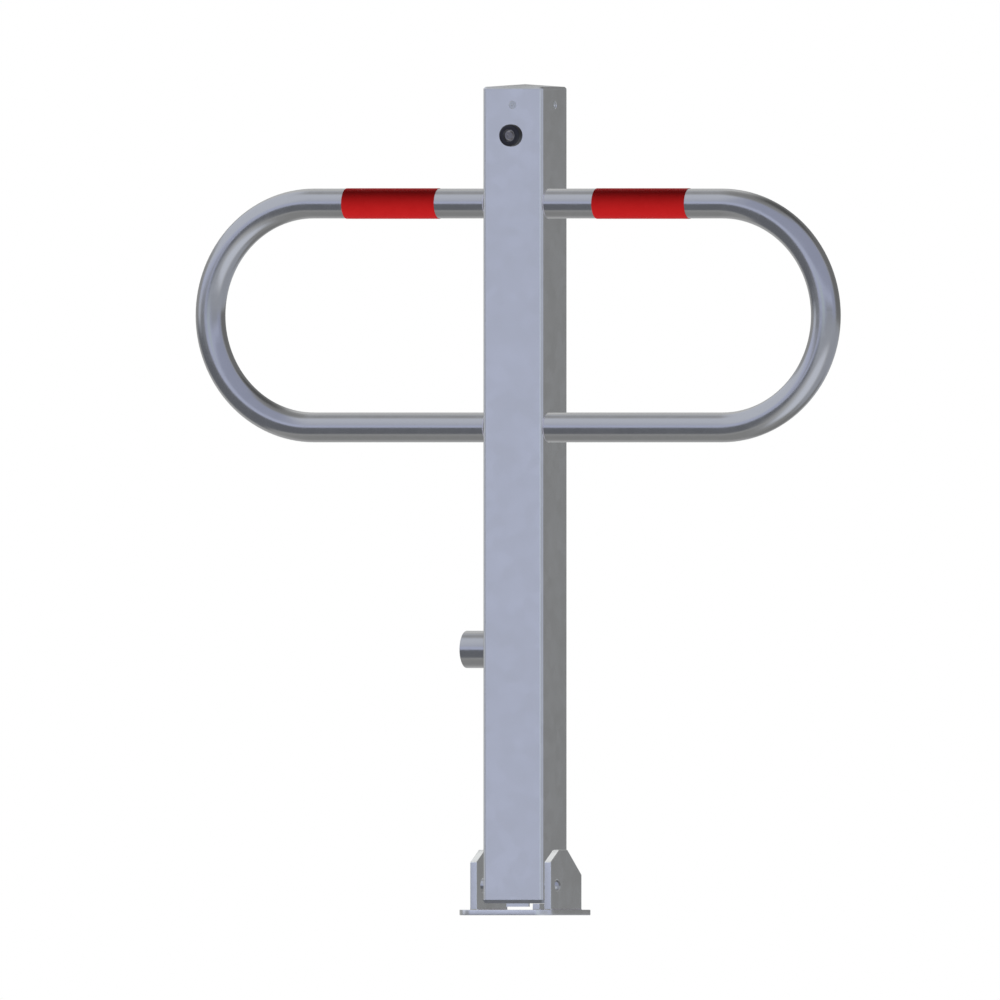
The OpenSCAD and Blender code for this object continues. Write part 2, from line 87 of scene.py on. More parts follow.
# %% Place the camera
CAMERA_TURN = math.radians(22.5)
MM_PER_PIXEL = 1.072
PHOTO_PIXELS = 1000
VIEW_SIDE_MM = -26.8
VIEW_HEIGHT_MM = 445.2
CAMERA_DISTANCE = 4.0

view_right = Vector((math.cos(CAMERA_TURN), math.sin(CAMERA_TURN), 0))
view_back = Vector((math.sin(CAMERA_TURN), -math.cos(CAMERA_TURN), 0))
camera_data = bpy.data.cameras.new("camera")
camera_data.type = "ORTHO"
camera_data.ortho_scale = MM_PER_PIXEL * PHOTO_PIXELS * MM
camera = bpy.data.objects.new("camera", camera_data)
camera.location = (
    view_right * VIEW_SIDE_MM * MM + view_back * CAMERA_DISTANCE + Z_AXIS * VIEW_HEIGHT_MM * MM
)
camera.rotation_euler = (math.radians(90), 0, CAMERA_TURN)
bpy.context.scene.collection.objects.link(camera)
bpy.context.scene.camera = camera
bpy.context.scene.view_settings.view_transform = "Standard"
print("camera sees", round(camera_data.ortho_scale, 3), "m across")

# %% [markdown]
# ## The room
# The background is plain white, and rays that come straight from the camera see only that.
# Dull pieces get a dim, even fill, so that the lamps can shape them. Metal is another matter:
# it has hardly a colour of its own and shows the room. So rays off metal see a studio of soft
# windows, dark gaps and a lit floor, painted in the world's own nodes. That takes no cards in
# the way of the camera, and it looks the same from every point of the object.


# %% A node group for one soft window
def node_group(name, inputs, outputs):
    """A new shader group, with its input and output nodes."""
    group = bpy.data.node_groups.new(name, "ShaderNodeTree")
    for label, kind, value in inputs:
        socket = group.interface.new_socket(label, in_out="INPUT", socket_type=kind)
        if value is not None:
            socket.default_value = value
    for label, kind in outputs:
        group.interface.new_socket(label, in_out="OUTPUT", socket_type=kind)
    return group, group.nodes.new("NodeGroupInput"), group.nodes.new("NodeGroupOutput")


def math_node(nodes, operation, value=None):
    """A Math node, with its second number set if one is given."""
    node = nodes.new("ShaderNodeMath")
    node.operation = operation
    if value is not None:
        node.inputs[1].default_value = value
    return node


def placed_group(nodes, group, **values):
    """A group placed in a node tree, with its inputs named by keyword."""
    node = nodes.new("ShaderNodeGroup")
    node.node_tree = group
    for label, value in values.items():
        node.inputs[label.replace("_", " ")].default_value = value
    return node


def make_soft_window():
    """Mask: 1 inside a box of bearing and height, with soft sides."""
    number = "NodeSocketFloat"
    given_labels = ("Bearing", "Height", "Middle", "Half Width", "Side Blur", "Level",
                    "Half Height", "Edge Blur")
    group, given, result = node_group(
        "soft_window", [(label, number, 0.0) for label in given_labels], [("Mask", number)]
    )
    nodes, links = group.nodes, group.links
    sides = []
    for value, middle, half, blur in (("Bearing", "Middle", "Half Width", "Side Blur"),
                                      ("Height", "Level", "Half Height", "Edge Blur")):
        away = math_node(nodes, "SUBTRACT")
        distance = math_node(nodes, "ABSOLUTE")
        inner = math_node(nodes, "SUBTRACT")
        outer = math_node(nodes, "ADD")
        side = nodes.new("ShaderNodeMapRange")
        side.interpolation_type = "SMOOTHSTEP"
        side.inputs["To Min"].default_value, side.inputs["To Max"].default_value = 1, 0
        links.new(given.outputs[value], away.inputs[0])
        links.new(given.outputs[middle], away.inputs[1])
        links.new(away.outputs[0], distance.inputs[0])
        links.new(distance.outputs[0], side.inputs["Value"])
        for edge, socket in ((inner, "From Min"), (outer, "From Max")):
            links.new(given.outputs[half], edge.inputs[0])
            links.new(given.outputs[blur], edge.inputs[1])
            links.new(edge.outputs[0], side.inputs[socket])
        sides.append(side)
    both = math_node(nodes, "MULTIPLY")
    links.new(sides[0].outputs[0], both.inputs[0])
    links.new(sides[1].outputs[0], both.inputs[1])
    links.new(both.outputs[0], result.inputs["Mask"])
    return group


SOFT_WINDOW = make_soft_window()
print("group:", SOFT_WINDOW.name)

# %% [markdown]
# ## The windows of the room
# A direction has a bearing, in degrees, where 0 is at the camera and minus is to its left, and
# a height on a ball of radius 1, from -1 at the floor to 1 at the ceiling. A tall soft window
# fills the left, a dim bluish wall stands behind the camera, the right rear is a dark corner,
# and the floor is dark on the left and bright in front. The post's upright faces show only
# what stands level with them, so they have narrow strips of their own near height 0: one for
# the front face, one for the rounded corner and one for the side.
#
# Each line is one window: its name, its two bearings, its two heights, the blur of its sides
# and edges, its level and its tint. A level of 1 is as bright as the background, and later
# windows cover earlier ones. WALLS gives the levels of what no window covers, from the floor
# up.

# %% List the walls and the windows
PLAIN, COOL = (0.99, 1.0, 1.01), (0.95, 1.0, 1.13)
BLUE, TEAL = (0.93, 1.0, 1.32), (0.88, 1.0, 1.11)
WALLS = [
    (-1.0, 0.4), (-0.9, 0.38), (-0.7, 0.56), (-0.3, 0.62), (-0.05, 0.5), (0.05, 0.37),
    (0.2, 0.38), (0.45, 0.75), (0.78, 0.82), (0.87, 0.5), (0.95, 0.4), (1.0, 0.33),
]
WINDOWS = [
    ("right floor", 55, 152, -0.88, -0.08, 12, 0.05, 0.52, COOL),
    ("right rear floor", 114, 172, -0.92, -0.5, 10, 0.06, 0.31, PLAIN),
    ("front floor", -30, 92, -0.32, -0.03, 9, 0.04, 0.54, COOL),
    ("lit floor", -9, 52, -0.96, -0.34, 15, 0.07, 0.93, COOL),
    ("dark floor", -128, -27, -0.74, -0.025, 9, 0.025, 0.215, COOL),
    ("front wall", -48, 84, -0.03, 0.93, 7, 0.03, 0.52, BLUE),
    ("left window", -152, -46, 0.22, 0.895, 7, 0.035, 0.83, COOL),
    ("bright band", -110, 58, 0.09, 0.25, 7, 0.03, 0.73, BLUE),
    ("side strip", -109, -83, -0.04, 0.1, 5, 0.03, 0.8, COOL),
    ("front strip", -50, -22, -0.03, 0.1, 6, 0.03, 0.78, BLUE),
    ("corner strip", -28, -7, -0.03, 0.14, 6, 0.03, 0.77, TEAL),
    ("plain wall", 5, 52, -0.04, 0.11, 9, 0.03, 0.42, COOL),
    ("dark gap", -73, -60, -0.1, 0.05, 5, 0.03, 0.34, COOL),
    ("left pillar", -146, -112, 0.0, 0.36, 6, 0.04, 0.44, PLAIN),
    ("dark corner", 87, 172, -0.06, 1.0, 8, 0.04, 0.25, PLAIN),
    ("dark ceiling", 104, 158, 0.68, 0.98, 8, 0.05, 0.14, PLAIN),
]
print("room:", len(WALLS), "wall levels,", len(WINDOWS), "windows")

# %% [markdown]
# ## Painting with nodes
# A radial gradient turns the direction of a ray into its bearing, and its Z part is its height
# on the ball. The height picks a wall level from a colour ramp. Then each window in turn is
# mixed over what is painted so far, by its own mask.


# %% Paint the room
def grey(level, tint=(1, 1, 1)):
    return tuple(level * share for share in tint) + (1,)


world = bpy.data.worlds.new("studio")
world.use_nodes = True
world.cycles.sampling_method = "NONE"
bpy.context.scene.world = world
nodes, links = world.node_tree.nodes, world.node_tree.links
nodes.clear()
direction = nodes.new("ShaderNodeTexCoord")
turn = nodes.new("ShaderNodeMapping")
turn.inputs["Rotation"].default_value[2] = math.radians(90) - CAMERA_TURN
circle = nodes.new("ShaderNodeTexGradient")
circle.gradient_type = "RADIAL"
bearing = nodes.new("ShaderNodeMapRange")
bearing.inputs["To Min"].default_value, bearing.inputs["To Max"].default_value = -180, 180
split = nodes.new("ShaderNodeSeparateXYZ")
ball_height = nodes.new("ShaderNodeMapRange")
ball_height.inputs["From Min"].default_value = -1
walls = nodes.new("ShaderNodeValToRGB")
for index, (height, level) in enumerate(WALLS):
    stops = walls.color_ramp.elements
    stop = stops[index] if index < 2 else stops.new(1.0)
    stop.position, stop.color = (height + 1) / 2, grey(level, PLAIN)
links.new(direction.outputs["Generated"], turn.inputs["Vector"])
links.new(turn.outputs["Vector"], circle.inputs["Vector"])
links.new(circle.outputs["Fac"], bearing.inputs["Value"])
links.new(direction.outputs["Generated"], split.inputs[0])
links.new(split.outputs["Z"], ball_height.inputs["Value"])
links.new(ball_height.outputs[0], walls.inputs["Fac"])
painted = walls.outputs["Color"]
for name, left, right, low, high, side_blur, edge_blur, level, tint in WINDOWS:
    window = placed_group(
        nodes, SOFT_WINDOW, Middle=(left + right) / 2, Half_Width=(right - left) / 2,
        Side_Blur=side_blur, Level=(low + high) / 2, Half_Height=(high - low) / 2,
        Edge_Blur=edge_blur,
    )
    window.label = name
    layer = nodes.new("ShaderNodeMix")
    layer.data_type = "RGBA"
    layer.inputs[7].default_value = grey(level, tint)
    links.new(bearing.outputs[0], window.inputs["Bearing"])
    links.new(split.outputs["Z"], window.inputs["Height"])
    links.new(window.outputs["Mask"], layer.inputs["Factor"])
    links.new(painted, layer.inputs[6])
    painted = layer.outputs[2]
print("world:", world.name, "with", len(nodes), "nodes")

# %% [markdown]
# ## Which ray sees what
# The Light Path node tells the kinds of ray apart. Camera rays, and rays through glass if a
# piece ever has any, see plain white. Rays off metal see the painted room. All the others
# bring back the dim fill.

# %% Join the room, the fill and the white
STRENGTHS = {"room": 1.0, "fill": 0.09, "white": 1.0}

shades = {}
for name, strength in STRENGTHS.items():
    shades[name] = nodes.new("ShaderNodeBackground")
    shades[name].inputs["Color"].default_value = grey(1)
    shades[name].inputs["Strength"].default_value = strength
links.new(painted, shades["room"].inputs["Color"])
path = nodes.new("ShaderNodeLightPath")
clear = math_node(nodes, "MAXIMUM")
dull_or_metal = nodes.new("ShaderNodeMixShader")
rest_or_white = nodes.new("ShaderNodeMixShader")
out = nodes.new("ShaderNodeOutputWorld")
links.new(path.outputs["Is Glossy Ray"], dull_or_metal.inputs["Fac"])
links.new(shades["fill"].outputs[0], dull_or_metal.inputs[1])
links.new(shades["room"].outputs[0], dull_or_metal.inputs[2])
links.new(path.outputs["Is Camera Ray"], clear.inputs[0])
links.new(path.outputs["Is Transmission Ray"], clear.inputs[1])
links.new(clear.outputs[0], rest_or_white.inputs["Fac"])
links.new(dull_or_metal.outputs[0], rest_or_white.inputs[1])
links.new(shades["white"].outputs[0], rest_or_white.inputs[2])
links.new(rest_or_white.outputs[0], out.inputs["Surface"])
print("strengths:", STRENGTHS)

# %% [markdown]
# ## The floor
# A pale disc far wider than the view. Most of what the camera sees of it is its own light, so
# it stays pale without brighter lamps on the object. An Ambient Occlusion node dims that light
# where something stands close above the floor, and the rest is lit, so the floor keeps both
# the soft dark under the object and its shadow. Further out the floor's own light takes over
# until it is as white as the background, so no horizon shows, as on a roll of studio paper.
# Metal sees the painted room in its place, and the low front lamp shines up through it, as
# through the glass of a photographer's table.

# %% Lay the floor
FLOOR_RADIUS, FLOOR_SIDES = 12.0, 96
FLOOR_OWN_LIGHT = 0.78
FLOOR_FADE = (0.8, 2.1)
FLOOR_DROP = 0.5 * MM
FLOOR_COLOUR = (0.82, 0.82, 0.83, 1)
CONTACT_REACH, CONTACT_SAMPLES = 0.3, 4


def mesh_object(name, bm, smooth=True):
    """Turns a finished bmesh into an object at the origin, with its place in its mesh."""
    for face in bm.faces:
        face.smooth = smooth
    mesh = bpy.data.meshes.new(name)
    bm.to_mesh(mesh)
    bm.free()
    piece = bpy.data.objects.new(name, mesh)
    bpy.context.scene.collection.objects.link(piece)
    return piece


def floor_material():
    """Lit near the object, and more and more its own light further out."""
    material = bpy.data.materials.new("pale_floor")
    material.use_nodes = True
    nodes, links = material.node_tree.nodes, material.node_tree.links
    nodes.clear()
    path = nodes.new("ShaderNodeLightPath")
    place = nodes.new("ShaderNodeTexCoord")
    reach = nodes.new("ShaderNodeVectorMath")
    reach.operation = "LENGTH"
    fade = nodes.new("ShaderNodeMapRange")
    fade.interpolation_type = "SMOOTHSTEP"
    fade.inputs["From Min"].default_value, fade.inputs["From Max"].default_value = FLOOR_FADE
    fade.inputs["To Min"].default_value = FLOOR_OWN_LIGHT
    fade.inputs["To Max"].default_value = 1.0
    share = math_node(nodes, "MULTIPLY")
    near = nodes.new("ShaderNodeAmbientOcclusion")
    near.inputs["Distance"].default_value = CONTACT_REACH
    near.samples = CONTACT_SAMPLES
    own = nodes.new("ShaderNodeEmission")
    lit = nodes.new("ShaderNodeBsdfDiffuse")
    lit.inputs["Color"].default_value = FLOOR_COLOUR
    mix = nodes.new("ShaderNodeMixShader")
    out = nodes.new("ShaderNodeOutputMaterial")
    links.new(place.outputs["Object"], reach.inputs[0])
    links.new(reach.outputs["Value"], fade.inputs["Value"])
    links.new(path.outputs["Is Camera Ray"], share.inputs[0])
    links.new(fade.outputs[0], share.inputs[1])
    links.new(near.outputs["Color"], own.inputs["Color"])
    links.new(share.outputs[0], mix.inputs["Fac"])
    links.new(lit.outputs[0], mix.inputs[1])
    links.new(own.outputs[0], mix.inputs[2])
    links.new(mix.outputs[0], out.inputs["Surface"])
    return material


bm = bmesh.new()
bmesh.ops.create_circle(bm, cap_ends=True, segments=FLOOR_SIDES, radius=FLOOR_RADIUS)
bmesh.ops.translate(bm, verts=bm.verts, vec=(0, 0, -FLOOR_DROP))
floor = mesh_object("floor", bm, smooth=False)
floor.data.materials.append(floor_material())
floor.visible_glossy = False
floor.visible_shadow = False
print("floor", 2 * FLOOR_RADIUS, "m across")

# %% [markdown]
# ## The lamps
# Metal shows the painted room, so the lamps are for the film, the rubber and the floor. The
# red film in the photograph is brightest a little below its middle and dark on top, so the
# front lamp shines up from below. The back lamp, high behind the post, lights the film and
# the rubber for whoever walks round, and gives the floor its shadow. Neither shows in metal.


# %% Hang the two lamps
def soft_lamp(name, place, target, size, power):
    """A soft rectangular lamp that faces a target and shows in nothing."""
    data = bpy.data.lights.new(name, "AREA")
    data.shape = "RECTANGLE"
    data.size, data.size_y = size
    data.energy = power
    lamp = bpy.data.objects.new(name, data)
    lamp.location = place
    lamp.rotation_euler = (target - place).to_track_quat("-Z", "Y").to_euler()
    lamp.visible_glossy = False
    lamp.visible_camera = False
    bpy.context.scene.collection.objects.link(lamp)


LAMP_TARGET = Vector((0, 0, hoop_z))
LAMPS = {
    "front_lamp": {"step": (0, -1.55, -1.15), "size": (1.2, 0.5), "power": 31},
    "back_lamp": {"step": (-0.5, 1.5, 1.5), "size": (0.9, 0.9), "power": 42},
}
for name, lamp in LAMPS.items():
    soft_lamp(name, LAMP_TARGET + Vector(lamp["step"]), LAMP_TARGET, lamp["size"], lamp["power"])
print("lamps:", {name: lamp["power"] for name, lamp in LAMPS.items()}, "watts")

# %% [markdown]
# ## Shared effects
# Several finishes here need the same two effects, so each is a node group with named inputs
# and outputs. The first is a slow cloud with a fine grain: on metal it is the bloom of a zinc
# coat, and on rubber the pebble of the mould. The second draws long fine lines, such as a
# rolling mill or a lathe leaves. Both read coordinates in metres, which are the same for every
# piece because every object sits at the origin.


# %% Build the two node groups
def noise_node(nodes, detail, roughness=0.5):
    noise = nodes.new("ShaderNodeTexNoise")
    noise.inputs["Detail"].default_value = detail
    noise.inputs["Roughness"].default_value = roughness
    return noise


def make_zinc_bloom():
    """Cloud: slow patches and crystals, 0 to 1. Grain: fine height."""
    group, given, result = node_group(
        "zinc_bloom",
        [
            ("Vector", "NodeSocketVector", None),
            ("Patch Scale", "NodeSocketFloat", 30.0),
            ("Crystal Scale", "NodeSocketFloat", 90.0),
            ("Grain Scale", "NodeSocketFloat", 1200.0),
        ],
        [("Cloud", "NodeSocketFloat"), ("Grain", "NodeSocketFloat")],
    )
    nodes, links = group.nodes, group.links
    patches = noise_node(nodes, 4, 0.6)
    crystals = nodes.new("ShaderNodeTexVoronoi")
    crystals.feature = "SMOOTH_F1"
    crystals.inputs["Smoothness"].default_value = 0.35
    grain = noise_node(nodes, 2)
    cell = nodes.new("ShaderNodeSeparateColor")
    cell_share = math_node(nodes, "MULTIPLY", 0.3)
    patch_share = math_node(nodes, "MULTIPLY", 0.7)
    cloud = math_node(nodes, "ADD")
    links.new(given.outputs["Vector"], patches.inputs["Vector"])
    links.new(given.outputs["Patch Scale"], patches.inputs["Scale"])
    links.new(given.outputs["Vector"], crystals.inputs["Vector"])
    links.new(given.outputs["Crystal Scale"], crystals.inputs["Scale"])
    links.new(given.outputs["Vector"], grain.inputs["Vector"])
    links.new(given.outputs["Grain Scale"], grain.inputs["Scale"])
    links.new(crystals.outputs["Color"], cell.inputs[0])
    links.new(cell.outputs["Red"], cell_share.inputs[0])
    links.new(patches.outputs["Fac"], patch_share.inputs[0])
    links.new(cell_share.outputs[0], cloud.inputs[0])
    links.new(patch_share.outputs[0], cloud.inputs[1])
    links.new(cloud.outputs[0], result.inputs["Cloud"])
    links.new(grain.outputs["Fac"], result.inputs["Grain"])
    return group


def make_fine_lines():
    """Lines: 0 to 1, drawn out along whichever axis has the small number in Stretch."""
    group, given, result = node_group(
        "fine_lines",
        [
            ("Vector", "NodeSocketVector", None),
            ("Stretch", "NodeSocketVector", (900.0, 900.0, 6.0)),
        ],
        [("Lines", "NodeSocketFloat")],
    )
    nodes, links = group.nodes, group.links
    scale = nodes.new("ShaderNodeVectorMath")
    scale.operation = "MULTIPLY"
    noise = noise_node(nodes, 3, 0.6)
    noise.inputs["Scale"].default_value = 1.0
    links.new(given.outputs["Vector"], scale.inputs[0])
    links.new(given.outputs["Stretch"], scale.inputs[1])
    links.new(scale.outputs[0], noise.inputs["Vector"])
    links.new(noise.outputs["Fac"], result.inputs["Lines"])
    return group


ZINC_BLOOM = make_zinc_bloom()
FINE_LINES = make_fine_lines()
print("groups:", ZINC_BLOOM.name, FINE_LINES.name)

# %% [markdown]
# ## Uneven colour, roughness and skin
# No real surface has one flat colour. Every finish here starts from the same half: a colour
# that drifts between two tones with the cloud, a roughness that drifts with it, and a Bump
# node for the skin. The helper builds that half and hands back what a finish adds to.


# %% The half that all finishes share
CLOUD_MIN, CLOUD_MAX = 0.3, 0.7


def uneven_finish(name, tones, roughness, bloom):
    """A material whose colour and roughness follow the cloud, and a bump without a height."""
    material = bpy.data.materials.new(name)
    material.use_nodes = True
    nodes, links = material.node_tree.nodes, material.node_tree.links
    shader = nodes["Principled BSDF"]
    where = nodes.new("ShaderNodeTexCoord")
    cloud = placed_group(nodes, ZINC_BLOOM, **bloom)
    links.new(where.outputs["Object"], cloud.inputs["Vector"])
    tint = nodes.new("ShaderNodeMix")
    tint.data_type = "RGBA"
    tint.inputs[6].default_value = (*tones[0], 1)
    tint.inputs[7].default_value = (*tones[1], 1)
    links.new(cloud.outputs["Cloud"], tint.inputs["Factor"])
    links.new(tint.outputs[2], shader.inputs["Base Color"])
    rough = nodes.new("ShaderNodeMapRange")
    rough.inputs["From Min"].default_value = CLOUD_MIN
    rough.inputs["From Max"].default_value = CLOUD_MAX
    rough.inputs["To Min"].default_value, rough.inputs["To Max"].default_value = roughness
    links.new(cloud.outputs["Cloud"], rough.inputs["Value"])
    links.new(rough.outputs[0], shader.inputs["Roughness"])
    bump = nodes.new("ShaderNodeBump")
    bump.inputs["Distance"].default_value = MM
    links.new(bump.outputs["Normal"], shader.inputs["Normal"])
    return material, shader, where, cloud, bump


print("roughness follows the cloud from", CLOUD_MIN, "to", CLOUD_MAX)

# %% [markdown]
# ## Metals
# All the metals are the shared half at full Metallic, with a bump from grain and lines. One
# function takes the two tones, the roughness range and how high each mark stands, and each
# metal then needs only its own numbers. Those numbers tell dull zinc plate from the brighter
# tube or a turned pin.


# %% A recipe for every metal
def metal(name, tones, roughness, bloom, lines, grain_height, line_height):
    """A zinc, steel or brass finish from two tones, a roughness range and two bumps."""
    material, shader, where, cloud, bump = uneven_finish(name, tones, roughness, bloom)
    nodes, links = material.node_tree.nodes, material.node_tree.links
    shader.inputs["Metallic"].default_value = 1.0
    drawn = placed_group(nodes, FINE_LINES, Stretch=lines)
    links.new(where.outputs["Object"], drawn.inputs["Vector"])
    grain_share = math_node(nodes, "MULTIPLY", grain_height)
    line_share = math_node(nodes, "MULTIPLY_ADD", line_height)
    links.new(cloud.outputs["Grain"], grain_share.inputs[0])
    links.new(drawn.outputs["Lines"], line_share.inputs[0])
    links.new(grain_share.outputs[0], line_share.inputs[2])
    links.new(line_share.outputs[0], bump.inputs["Height"])
    return material


BLOOM_PLATE = {"Patch_Scale": 22.0, "Crystal_Scale": 70.0, "Grain_Scale": 1500.0}
BLOOM_TUBE = {"Patch_Scale": 35.0, "Crystal_Scale": 120.0, "Grain_Scale": 1800.0}
BLOOM_SMALL = {"Patch_Scale": 120.0, "Crystal_Scale": 400.0, "Grain_Scale": 2500.0}
print("widest patches, in mm:",
      [round(1 / bloom["Patch_Scale"] / MM) for bloom in (BLOOM_PLATE, BLOOM_TUBE, BLOOM_SMALL)])

# %% [markdown]
# ## The metal finishes
# The post, plates and cap share one dull coat: its grain is fine, its patches are as wide as a
# few fingers and its mill lines run up the post. The hoop and the lock's housing are tube of
# the same zinc, but smoother and a little darker. Turned pieces have lines around X, the axis
# of the pin and the lock. Nuts are bright plated, the spring is darker drawn wire, and the
# lock's bush is brass. Weld seams are the dull coat again, greyer and rougher.

# %% Mix the metals
dull_zinc = metal(
    "dull_zinc", ((0.71, 0.715, 0.71), (0.755, 0.76, 0.755)), (0.2, 0.27),
    BLOOM_PLATE, (700.0, 700.0, 4.0), 0.01, 0.004,
)
bright_zinc_tube = metal(
    "bright_zinc_tube", ((0.485, 0.485, 0.485), (0.52, 0.52, 0.52)), (0.17, 0.23),
    BLOOM_TUBE, (60.0, 60.0, 60.0), 0.003, 0.004,
)
turned_steel = metal(
    "turned_steel", ((0.47, 0.475, 0.485), (0.53, 0.535, 0.545)), (0.18, 0.28),
    BLOOM_SMALL, (3500.0, 60.0, 60.0), 0.004, 0.02,
)
plated_zinc = metal(
    "plated_zinc", ((0.52, 0.525, 0.53), (0.6, 0.605, 0.61)), (0.2, 0.32),
    BLOOM_SMALL, (900.0, 900.0, 900.0), 0.01, 0.01,
)
spring_wire = metal(
    "spring_wire", ((0.3, 0.31, 0.33), (0.36, 0.37, 0.39)), (0.3, 0.4),
    BLOOM_SMALL, (900.0, 900.0, 900.0), 0.01, 0.01,
)
turned_brass = metal(
    "turned_brass", ((0.6, 0.41, 0.16), (0.7, 0.5, 0.22)), (0.22, 0.34),
    BLOOM_SMALL, (3500.0, 60.0, 60.0), 0.004, 0.02,
)
weld_zinc = metal(
    "weld_zinc", ((0.56, 0.54, 0.58), (0.7, 0.67, 0.71)), (0.33, 0.46),
    BLOOM_SMALL, (700.0, 700.0, 700.0), 0.03, 0.02,
)
metals = (dull_zinc, bright_zinc_tube, turned_steel, plated_zinc, spring_wire, turned_brass,
          weld_zinc)
print("metals:", [material.name for material in metals])

# %% [markdown]
# ## Film and rubber
# The bands are smooth red film: a dull plastic with a very low shine and a slightly uneven
# colour. The buffer is black moulded rubber, slightly blue in the light, with a matt skin that
# has a fine pebble. Neither is a metal, so the lamps and the dim fill light them.

# %% Mix the film and the rubber
BLOOM_FILM = {"Patch_Scale": 60.0, "Crystal_Scale": 180.0, "Grain_Scale": 500.0}
BLOOM_RUBBER = {"Patch_Scale": 150.0, "Crystal_Scale": 450.0, "Grain_Scale": 1400.0}


def plain_coat(name, tones, roughness, bloom, shine, pebble_height):
    """A plastic or rubber finish with uneven colour, uneven roughness and a pebbled skin."""
    material, shader, _, cloud, bump = uneven_finish(name, tones, roughness, bloom)
    nodes, links = material.node_tree.nodes, material.node_tree.links
    shader.inputs["Specular IOR Level"].default_value = shine
    height = math_node(nodes, "MULTIPLY", pebble_height)
    links.new(cloud.outputs["Grain"], height.inputs[0])
    links.new(height.outputs[0], bump.inputs["Height"])
    return material


red_film = plain_coat(
    "red_film", ((0.5, 0.012, 0.013), (0.56, 0.016, 0.017)), (0.38, 0.46),
    BLOOM_FILM, 0.03, 0.01,
)
black_rubber = plain_coat(
    "black_rubber", ((0.004, 0.004, 0.008), (0.008, 0.008, 0.013)), (0.36, 0.46),
    BLOOM_RUBBER, 0.55, 0.05,
)
print("coats:", red_film.name, black_rubber.name)

# %% [markdown]
# ## Dress the CAD nodes
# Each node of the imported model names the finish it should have. The record's slots are paired
# with the materials above, and every node's own material slot is filled from that list, also
# inside the post, where the lock's parts would be seen if someone cut it open.

# %% Pair slots with finishes
FINISHES = {
    "galvanised_steel": dull_zinc,
    "hoop_tube": bright_zinc_tube,
    "turned_steel": turned_steel,
    "zinc_fasteners": plated_zinc,
    "spring_steel": spring_wire,
    "brass": turned_brass,
    "red_film": red_film,
    "black_rubber": black_rubber,
}
node_slots = {part["node"]: part["material_slot"] for part in frame["record"]["subparts"]}
body_of_node = {
    node: body for body, nodes in frame["record"]["behaviour"]["bodies"].items() for node in nodes
}
for node, slot in node_slots.items():
    cad_object = frame["nodes"][node]
    for material_slot in cad_object.material_slots:
        material_slot.material = FINISHES[slot]
print("dressed", len(node_slots), "nodes in", len(FINISHES), "finishes")

# %% [markdown]
# ## Softened edges
# Real plate and tube have no knife edges: shears, saws and the zinc bath leave a small round
# that catches the light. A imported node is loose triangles, so a copy is merged first, its
# flat faces are joined again, and then only its sharp edges are bevelled. A Weighted Normal
# modifier keeps the big faces flat in the shading. The copy stands in for its node.


# %% A helper that softens a node
def finished(piece, slot, body, *nodes, material=None):
    """Gives a piece its finish and its body, and hides the nodes that it stands for."""
    piece.data.materials.clear()
    piece.data.materials.append(material or FINISHES[slot])
    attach(piece, body)
    if nodes:
        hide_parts(*nodes)
    return piece


def even_normals(piece):
    even = piece.modifiers.new("even_normals", "WEIGHTED_NORMAL")
    even.weight = 100


def round_off(bm, edges, width_mm, segments=2):
    bmesh.ops.bevel(
        bm, geom=edges, offset=width_mm * MM, offset_type="OFFSET", segments=segments,
        profile=0.5, affect="EDGES", clamp_overlap=True, material=-1,
    )


SHARP_ANGLE, FLAT_ANGLE = math.radians(32), math.radians(0.5)


def softened(node, width_mm, first=None, material=None):
    """A merged copy of a CAD node with its sharp edges rounded off."""
    bm = bmesh.new()
    bm.from_mesh(frame["nodes"][node].data)
    bmesh.ops.remove_doubles(bm, verts=bm.verts, dist=0.002 * MM)
    bmesh.ops.dissolve_limit(bm, angle_limit=FLAT_ANGLE, verts=bm.verts, edges=bm.edges)
    if first:
        first(bm)
    sharp = [
        edge for edge in bm.edges if edge.is_manifold and edge.calc_face_angle() > SHARP_ANGLE
    ]
    round_off(bm, sharp, width_mm)
    piece = mesh_object(node + "_soft", bm)
    even_normals(piece)
    return finished(piece, node_slots[node], body_of_node[node], node, material=material)


print("edges sharper than", round(math.degrees(SHARP_ANGLE)), "degrees are softened")

# %% [markdown]
# ## Finishes of single parts
# The foot plate is darker zinc all over: painted shade that stands for the dark line under the
# post.
# The screws in the cap were zinc-dipped with the post and hardly stand out from it, and the
# buffer's screw and washer are blackened steel.

# %% Mix the metals of single parts
screw_zinc = metal(
    "screw_zinc", ((0.62, 0.635, 0.64), (0.69, 0.705, 0.71)), (0.38, 0.48),
    BLOOM_SMALL, (900.0, 900.0, 900.0), 0.01, 0.01,
)
black_steel = metal(
    "black_steel", ((0.22, 0.21, 0.215), (0.28, 0.27, 0.275)), (0.3, 0.42),
    BLOOM_SMALL, (900.0, 900.0, 900.0), 0.01, 0.01,
)
# Painted shade: this darker zinc on the whole foot plate stands in for the shade under the post.
painted_shade_zinc = metal(
    "painted_shade_zinc", ((0.33, 0.345, 0.37), (0.4, 0.41, 0.44)), (0.34, 0.45),
    BLOOM_SMALL, (700.0, 700.0, 700.0), 0.01, 0.01,
)
OWN_FINISH = {
    "foot_plate": painted_shade_zinc, "cap_screws": screw_zinc, "buffer_screw": black_steel,
    "buffer_washer": black_steel,
}
print("own finishes:", {node: material.name for node, material in OWN_FINISH.items()})

# %% [markdown]
# ## The plates, the post and the small parts
# The sheared plates get the widest round and the small screws the narrowest. The cap is a
# shallow pressed pyramid whose rim was dressed to a small flat chamfer, and that comes before
# its other edges.

# %% Soften the nodes
RIM_CHAMFER_MM = 1.8
RIM_BELOW_APEX_MM = (2, 4)
RIM_ANGLE = math.radians(60)


